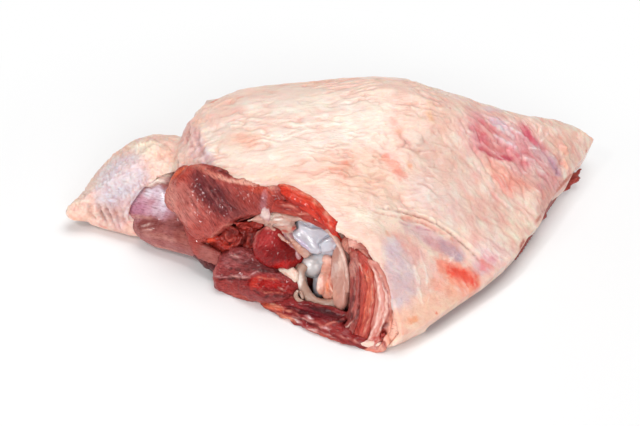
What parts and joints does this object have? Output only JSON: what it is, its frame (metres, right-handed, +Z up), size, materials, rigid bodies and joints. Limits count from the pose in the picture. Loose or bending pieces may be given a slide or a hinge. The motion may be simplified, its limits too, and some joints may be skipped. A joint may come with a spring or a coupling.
{
  "type": "raw turkey thigh",
  "caption": "Raw turkey thigh with skin on and bone in, cut open at the knee so that muscles, cartilage, tendon and fat show, lying skin side up.",
  "frame": {"origin": "on the supporting surface under the middle of the bounding box", "axes": "+X along the thigh, from the small lobe to the pointed hip end; +Z up, out of the skin; the opened knee faces -Y"},
  "size_m": [0.267, 0.161, 0.0631],
  "materials": {
    "skin": "moist poultry skin, cream to peach with pink and lilac patches",
    "dark_muscle": "moist dark leg muscle with fine fibres",
    "red_muscle": "wet bright red muscle",
    "fascia": "moist pink connective tissue",
    "bone": "wet white bone end",
    "cartilage": "smooth bluish white cartilage, wet",
    "tendon": "glossy beige tendon",
    "fat": "soft cream fat"
  },
  "bodies": {
    "root": {"skin": "skin", "thigh_meat": "dark_muscle", "lobe_meat": "dark_muscle", "upper_muscle": "dark_muscle", "lower_muscle": "dark_muscle", "under_muscle": "dark_muscle", "middle_muscle": "red_muscle", "rim_muscle": "red_muscle", "round_muscle": "red_muscle", "rolled_muscle": "red_muscle", "floor_muscle": "red_muscle", "flap_muscle": "red_muscle", "flap_inner": "dark_muscle", "flap_fascia": "fascia", "fascia": "fascia", "femur": "bone", "joint_cartilage": "cartilage", "tendon_loop": "tendon", "tendon_band": "tendon", "joint_fat": "fat", "fat_lobe": "fat", "fat_wedge": "fat"}
  },
  "joints": []
}
